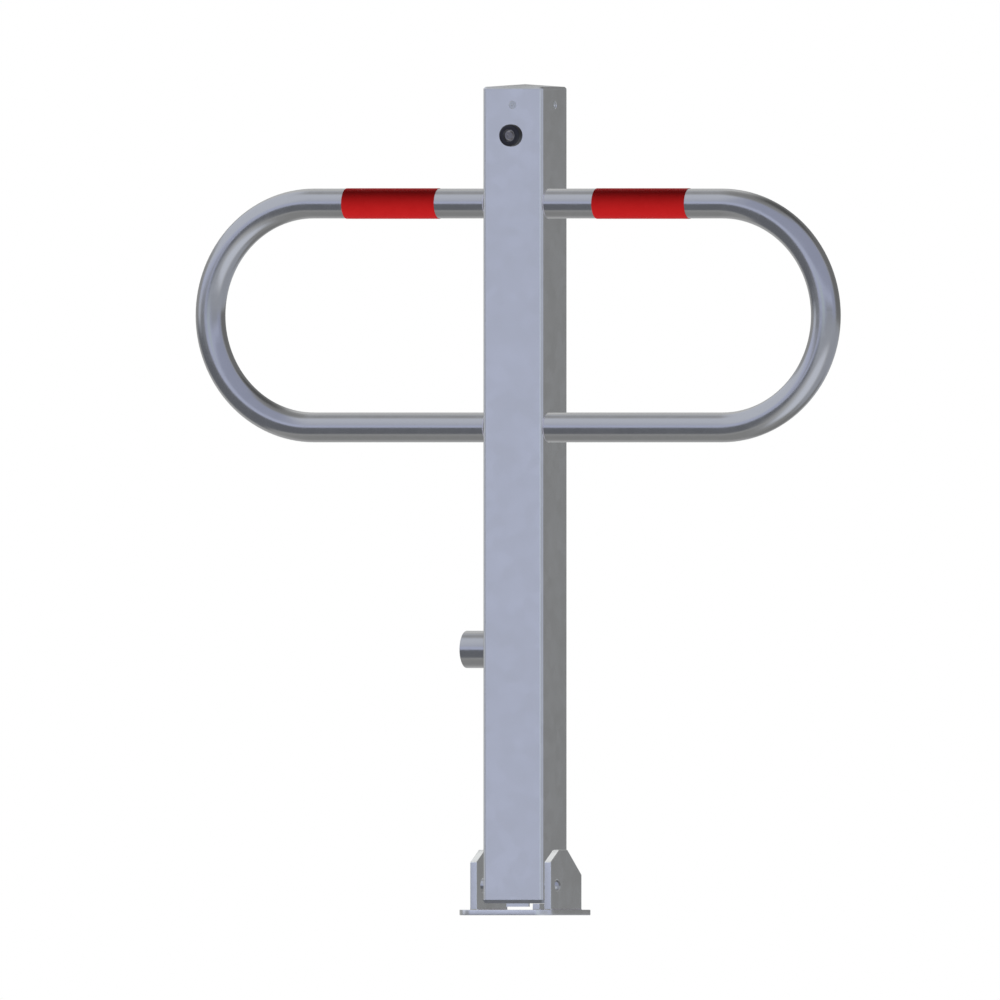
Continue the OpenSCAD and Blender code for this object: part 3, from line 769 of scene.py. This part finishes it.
def chamfer_cap_rim(bm):
    """Chamfers the four top edges of the cap, where its sides meet the pyramid."""
    apex = max(vert.co.z for vert in bm.verts)
    near, far = (step * MM for step in RIM_BELOW_APEX_MM)
    rim = [
        edge for edge in bm.edges
        if all(near < apex - vert.co.z < far for vert in edge.verts)
        and edge.calc_face_angle(0) > RIM_ANGLE
    ]
    print("cap rim:", len(rim), "edges")
    round_off(bm, rim, RIM_CHAMFER_MM, segments=1)


SOFT_EDGES_MM = {
    "base_plate": 0.8, "cheek_left": 0.8, "cheek_right": 0.8, "stop_lug": 0.25,
    "post_tube": 0.3, "lock_housing": 0.6, "lock_bush": 0.3, "lock_core": 0.4,
    "foot_plate": 0.4, "top_cap": 0.12, "cap_screws": 0.12, "buffer_screw": 0.15,
    "buffer_washer": 0.2,
}
soft_pieces = {
    node: softened(
        node, width, first=chamfer_cap_rim if node == "top_cap" else None,
        material=OWN_FINISH.get(node),
    )
    for node, width in SOFT_EDGES_MM.items()
}
print({node: len(piece.data.polygons) for node, piece in soft_pieces.items()})

# %% [markdown]
# ## The cheeks' painted highlight
# The sloping edges of the cheeks face up toward the light. Their faces that look up get a
# second, brighter metal, which is a painted highlight.

# %% Paint a highlight on the cheek faces that look up
# Painted highlight: a brighter metal for the cheek faces that look up, standing for the light
# that falls on them.
painted_highlight_zinc = metal(
    "painted_highlight_zinc", ((0.92, 0.93, 0.92), (0.97, 0.98, 0.97)), (0.2, 0.28),
    BLOOM_SMALL, (700.0, 700.0, 700.0), 0.005, 0.005,
)
LOOKS_UP = 0.3

for node in ("cheek_left", "cheek_right"):
    cheek = soft_pieces[node].data
    cheek.materials.append(painted_highlight_zinc)
    highlit = [face for face in cheek.polygons if face.normal.z > LOOKS_UP]
    for face in highlit:
        face.material_index = 1
    print(node, len(highlit), "faces of cut edge")

# %% [markdown]
# ## Round pieces
# A round piece is one outline turned about its axis. The helper takes the outline as pairs of
# radius and distance along the axis, turns it through a full circle with the spin operator,
# and merges the seam and the poles. An arc in the outline is worked out by a second helper.


# %% Helpers for turned pieces
def arc(centre, radius, start, end, steps=6):
    """Points of an arc in the outline's own plane, angles in degrees."""
    turns = [math.radians(start + (end - start) * i / steps) for i in range(steps + 1)]
    return [(centre[0] + radius * math.cos(t), centre[1] + radius * math.sin(t)) for t in turns]


def turned(name, outline, origin, axis, steps=72):
    """Spins an outline of (radius, distance) pairs about an axis through a point."""
    axis = Vector(axis).normalized()
    side = axis.orthogonal().normalized()
    bm = bmesh.new()
    verts = [bm.verts.new(Vector(origin) + side * r + axis * along) for r, along in outline]
    edges = [bm.edges.new(pair) for pair in zip(verts, verts[1:])]
    bmesh.ops.spin(
        bm, geom=verts + edges, cent=origin, axis=axis, angle=math.tau, steps=steps,
        use_merge=True, use_duplicate=False,
    )
    bmesh.ops.remove_doubles(bm, verts=bm.verts, dist=0.001 * MM)
    bmesh.ops.recalc_face_normals(bm, faces=bm.faces)
    piece = mesh_object(name, bm)
    even_normals(piece)
    return piece


# %% [markdown]
# ## The hinge pin
# The pin runs through both cheeks and the post's sleeve. Outside each cheek it ends in a
# shallow dome with a small flat that the riveting tool left, and the right dome is the bright
# spot in the photograph.

# %% Turn the hinge pin
DOME_FLAT_AT = 88

pin_low, pin_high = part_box("hinge_pin")
pin_r = (pin_high.z - pin_low.z) / 2
pin_centre = Vector((0, (pin_low.y + pin_high.y) / 2, (pin_low.z + pin_high.z) / 2))
cheek_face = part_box("cheek_right")[1].x
dome = pin_high.x - cheek_face
dome_r = (pin_r**2 + dome**2) / (2 * dome)
dome_turn = math.degrees(math.asin(pin_r / dome_r))
right_dome = arc((0, pin_high.x - dome_r), dome_r, 90 - dome_turn, DOME_FLAT_AT, 8)
pin_outline = (
    [(0, -right_dome[-1][1])]
    + [(r, -along) for r, along in reversed(right_dome)]
    + [(pin_r, -cheek_face + MM), (pin_r, cheek_face - MM)]
    + right_dome
    + [(0, right_dome[-1][1])]
)
hinge_pin = turned("hinge_pin_domed", pin_outline, pin_centre, X_AXIS)
finished(hinge_pin, "turned_steel", "base", "hinge_pin")
print("pin", round(2 * pin_r / MM, 2), "mm, dome radius", round(dome_r / MM, 2), "mm")

# %% [markdown]
# ## The buffer
# The rubber buffer stops the folded post from striking the ground. It is a low drum with a
# rounded edge and a recess for its screw. A mould leaves a fine raised line round its side
# and a small round at the mouth of the recess, and both are in the outline.

# %% Turn the rubber buffer
EDGE_R, MOUTH_R, MOULD_LINE = 2.5 * MM, 0.8 * MM, 0.18 * MM
BACK_EDGE_IN, BACK_EDGE_UP = 0.4 * MM, 0.6 * MM
SCREW_HOLE_R, WASHER_CLEARANCE = 3.2 * MM, 0.5 * MM
MOULD_LINE_SHARE = 0.45

buffer_low, buffer_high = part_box("buffer")
buffer_r = (buffer_high.x - buffer_low.x) / 2
buffer_h = buffer_high.y - buffer_low.y
buffer_centre = Vector((0, buffer_high.y, (buffer_low.z + buffer_high.z) / 2))
washer_low, washer_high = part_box("buffer_washer")
recess_r = (washer_high.x - washer_low.x) / 2 + WASHER_CLEARANCE
recess_floor = buffer_high.y - washer_high.y
mould_at = buffer_h * MOULD_LINE_SHARE
side_r = buffer_r - MOULD_LINE
buffer_outline = (
    [(SCREW_HOLE_R, 0), (buffer_r - BACK_EDGE_IN, 0), (side_r, BACK_EDGE_UP)]
    + [(side_r, mould_at - MOULD_LINE), (buffer_r, mould_at), (side_r, mould_at + MOULD_LINE)]
    + arc((side_r - EDGE_R, buffer_h - EDGE_R), EDGE_R, 0, 90, 8)
    + arc((recess_r + MOUTH_R, buffer_h - MOUTH_R), MOUTH_R, 90, 180, 6)
    + [(recess_r, recess_floor), (SCREW_HOLE_R, recess_floor), (SCREW_HOLE_R, 0)]
)
buffer = turned("buffer_moulded", buffer_outline, buffer_centre, -Y_AXIS, steps=96)
finished(buffer, "black_rubber", "post", "buffer")
print("buffer", round(2 * buffer_r / MM, 1), "mm across,", round(buffer_h / MM, 1), "mm high")

# %% [markdown]
# ## The hoop
# Each half of the hoop is one tube: a straight bar, a half circle and another straight bar.
# A ring of vertices at the post is pushed out along the upper bar, spun through half a turn
# about the middle of the bend, and pushed back along the lower bar. Only edges are extruded,
# so no wall is left inside. Both ends stop within the post's wall and are closed there, so the
# tube meets the post without a gap.

# %% Bend the two hoops
HOOP_RING, HOOP_BEND_STEPS = 48, 64
END_IN_WALL = 1.0 * MM


def pushed_edges(bm, edges, step):
    """Extrudes a ring of edges and moves the new ring."""
    grown = bmesh.ops.extrude_edge_only(bm, edges=edges)["geom"]
    verts = [part for part in grown if isinstance(part, bmesh.types.BMVert)]
    bmesh.ops.translate(bm, verts=verts, vec=step)
    return [part for part in grown if isinstance(part, bmesh.types.BMEdge)
            and all(vert in verts for vert in part.verts)]


def bent_hoop(name, side):
    """A half hoop on the right (side 1) or on the left (side -1)."""
    end_x = post_half - END_IN_WALL
    bm = bmesh.new()
    upright = Matrix.Translation((end_x, tube_y, hoop_z + bend_r)) @ Matrix.Rotation(
        math.radians(90), 4, "Y"
    )
    bmesh.ops.create_circle(bm, segments=HOOP_RING, radius=tube_r, matrix=upright)
    ring = pushed_edges(bm, bm.edges[:], X_AXIS * (bend_x - end_x))
    bend = bmesh.ops.spin(
        bm, geom=ring, cent=(bend_x, tube_y, hoop_z), axis=Y_AXIS, angle=math.pi,
        steps=HOOP_BEND_STEPS, use_duplicate=False,
    )["geom_last"]
    ring = [part for part in bend if isinstance(part, bmesh.types.BMEdge)]
    pushed_edges(bm, ring, X_AXIS * (end_x - bend_x))
    for face in bmesh.ops.holes_fill(bm, edges=bm.edges[:])["faces"]:
        for edge in face.edges:
            edge.smooth = False
    if side < 0:
        bmesh.ops.scale(bm, verts=bm.verts, vec=(-1, 1, 1))
    bmesh.ops.remove_doubles(bm, verts=bm.verts, dist=0.001 * MM)
    bmesh.ops.recalc_face_normals(bm, faces=bm.faces)
    loose = sum(not edge.is_manifold for edge in bm.edges)
    piece = mesh_object(name, bm)
    print(name, len(piece.data.polygons), "faces,", loose, "open edges")
    return piece


for side, word in ((1, "right"), (-1, "left")):
    hoop = bent_hoop("hoop_bent_" + word, side)
    finished(hoop, "hoop_tube", "post", "hoop_" + word)

# %% [markdown]
# ## The red bands
# Each band is a sleeve of film round the bar. It is turned like the other round pieces, with
# the small round that its cut ends have, and it stays a hair clear of the tube's own surface,
# so that the two never fight over which of them shows.

# %% Wrap the red bands
FILM_SKIN = 0.02 * MM

for side, word in ((1, "right"), (-1, "left")):
    band_low, band_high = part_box("red_band_" + word)
    band_r = (band_high.z - band_low.z) / 2
    band_centre = Vector((band_low.x, tube_y, (band_low.z + band_high.z) / 2))
    length = band_high.x - band_low.x
    film = band_r - tube_r
    band_outline = (
        [(tube_r + FILM_SKIN, 0)]
        + arc((band_r - film / 2, film / 2), film / 2, -90, 0, 3)
        + arc((band_r - film / 2, length - film / 2), film / 2, 0, 90, 3)
        + [(tube_r + FILM_SKIN, length), (tube_r + FILM_SKIN, 0)]
    )
    band = turned("red_band_film_" + word, band_outline, band_centre, X_AXIS, steps=96)
    finished(band, "red_film", "post", "red_band_" + word)
    print(band.name, round(length / MM, 1), "mm long")

# %% [markdown]
# ## Weld seams
# The tubes and plates are joined by small fillet welds. A seam is a round bead half sunk in
# the corner, with the slight ripple of a weld laid drop by drop. A ring seam is a small
# circle spun about the joint, a straight one is a thin rod cut into many short lengths, and
# both get their ripple by moving the vertices in and out along the way.

# %% Helpers for weld seams
SEAM_SIDES = 10
RIPPLE_PITCH, RIPPLE_DEPTH, STEPS_PER_RIPPLE = 2.4 * MM, 0.12, 4
SEAM_TIP = 0.45


def rippled(bm, centre_of, distance_of):
    """Swells each vertex from the seam's centre line with its distance along the seam."""
    for vert in bm.verts:
        centre = centre_of(vert.co)
        wave = math.sin(math.tau * distance_of(vert.co) / RIPPLE_PITCH)
        vert.co = centre + (vert.co - centre) * (1 + RIPPLE_DEPTH * wave)


def ring_seam(name, body, centre, axis, radius, size_mm):
    """A closed ring of weld about an axis."""
    axis, centre, size = Vector(axis).normalized(), Vector(centre), size_mm * MM
    side = axis.orthogonal().normalized()
    other = axis.cross(side)
    place = Matrix((side, other, axis)).transposed().to_4x4()
    place.translation = centre + side * radius
    bm = bmesh.new()
    bmesh.ops.create_circle(
        bm, segments=SEAM_SIDES, radius=size,
        matrix=place @ Matrix.Rotation(math.radians(90), 4, "X"),
    )
    steps = STEPS_PER_RIPPLE * round(math.tau * radius / RIPPLE_PITCH)
    bmesh.ops.spin(
        bm, geom=bm.verts[:] + bm.edges[:], cent=centre, axis=axis, angle=math.tau, steps=steps,
        use_merge=True, use_duplicate=False,
    )
    bmesh.ops.remove_doubles(bm, verts=bm.verts, dist=0.001 * MM)

    def outwards(point):
        return (point - centre) - axis * (point - centre).dot(axis)

    def along(point):
        out = outwards(point)
        return math.atan2(out.dot(other), out.dot(side)) * radius

    rippled(bm, lambda p: centre + outwards(p).normalized() * radius, along)
    bmesh.ops.recalc_face_normals(bm, faces=bm.faces)
    return finished(mesh_object(name, bm), "galvanised_steel", body, material=weld_zinc)


def straight_seam(name, body, start, end, size_mm):
    """A straight weld between two points, thinner at its ends."""
    start, end, size = Vector(start), Vector(end), size_mm * MM
    line = end - start
    length, direction = line.length, line.normalized()
    bm = bmesh.new()
    turn = direction.to_track_quat("Z", "Y").to_matrix().to_4x4()
    turn.translation = (start + end) / 2
    bmesh.ops.create_cone(
        bm, cap_ends=True, segments=SEAM_SIDES, radius1=size, radius2=size, depth=length,
        matrix=turn,
    )
    long_edges = [
        edge for edge in bm.edges
        if abs((edge.verts[0].co - edge.verts[1].co).dot(direction)) > size
    ]
    cuts = STEPS_PER_RIPPLE * round(length / RIPPLE_PITCH)
    bmesh.ops.subdivide_edges(bm, edges=long_edges, cuts=cuts, use_grid_fill=False)

    def along(point):
        return (point - start).dot(direction)

    for vert in bm.verts:
        centre = start + direction * along(vert.co)
        end_distance = min(along(vert.co), length - along(vert.co))
        swell = min(1.0, max(0.0, end_distance) / (2 * size)) ** 0.5
        taper = SEAM_TIP + (1 - SEAM_TIP) * swell
        vert.co = centre + (vert.co - centre) * taper
    rippled(bm, lambda p: start + direction * along(p), along)
    bmesh.ops.recalc_face_normals(bm, faces=bm.faces)
    return finished(mesh_object(name, bm), "galvanised_steel", body, material=weld_zinc)


# %% [markdown]
# ## Where the welds are
# A ring joins each end of each hoop to the post's side, and one joins the lock's housing. The
# cheeks and the stop lug are welded to the base plate along their feet. The seams are small,
# because none stands out in the photograph.

# %% Lay the weld seams
HOOP_SEAM, LOCK_SEAM, CHEEK_SEAM, LUG_SEAM = 0.8, 1.3, 1.1, 1.0
RING_SINK = 0.5 * MM
END_INSET = 1.5 * MM
seams = []
for side, word in ((1, "right"), (-1, "left")):
    for level, place in ((1, "upper"), (-1, "lower")):
        seams.append(
            ring_seam(
                f"seam_hoop_{place}_{word}", "post",
                (side * post_half, tube_y, hoop_z + level * bend_r), X_AXIS,
                tube_r - RING_SINK, HOOP_SEAM,
            )
        )
housing_low, housing_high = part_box("lock_housing")
housing_r = (housing_high.y - housing_low.y) / 2
lock_centre = (housing_low + housing_high) / 2
lock_foot = (-post_half, lock_centre.y, lock_centre.z)
seams.append(ring_seam("seam_lock", "post", lock_foot, X_AXIS, housing_r, LOCK_SEAM))
plate_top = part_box("base_plate")[1].z
for word in ("left", "right"):
    low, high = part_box("cheek_" + word)
    for face, x in (("in", low.x if word == "right" else high.x),
                    ("out", high.x if word == "right" else low.x)):
        seams.append(
            straight_seam(
                f"seam_cheek_{word}_{face}", "base",
                (x, low.y + END_INSET, plate_top), (x, high.y - END_INSET, plate_top),
                CHEEK_SEAM,
            )
        )
lug_low, lug_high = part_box("stop_lug")
for x, word in ((lug_low.x, "left"), (lug_high.x, "right")):
    seams.append(
        straight_seam(
            f"seam_lug_{word}", "base",
            (x, lug_low.y + END_INSET, plate_top), (x, lug_high.y - END_INSET, plate_top),
            LUG_SEAM,
        )
    )
print(len(seams), "weld seams")

# %% [markdown]
# ## Metal that shows only the room
# In the photograph the tubes run into the post with the same tones that they have far from
# it: no piece shows an image of its neighbour. So rays off metal pass the object's own pieces
# and go on to the room. Shadows on the film, the rubber and the floor are kept.

# %% Leave the pieces out of reflections
own_pieces = [
    piece for piece in bpy.data.objects
    if piece.type == "MESH" and piece.name != floor.name
]
for piece in own_pieces:
    piece.visible_glossy = False
print(len(own_pieces), "pieces left out of reflections")
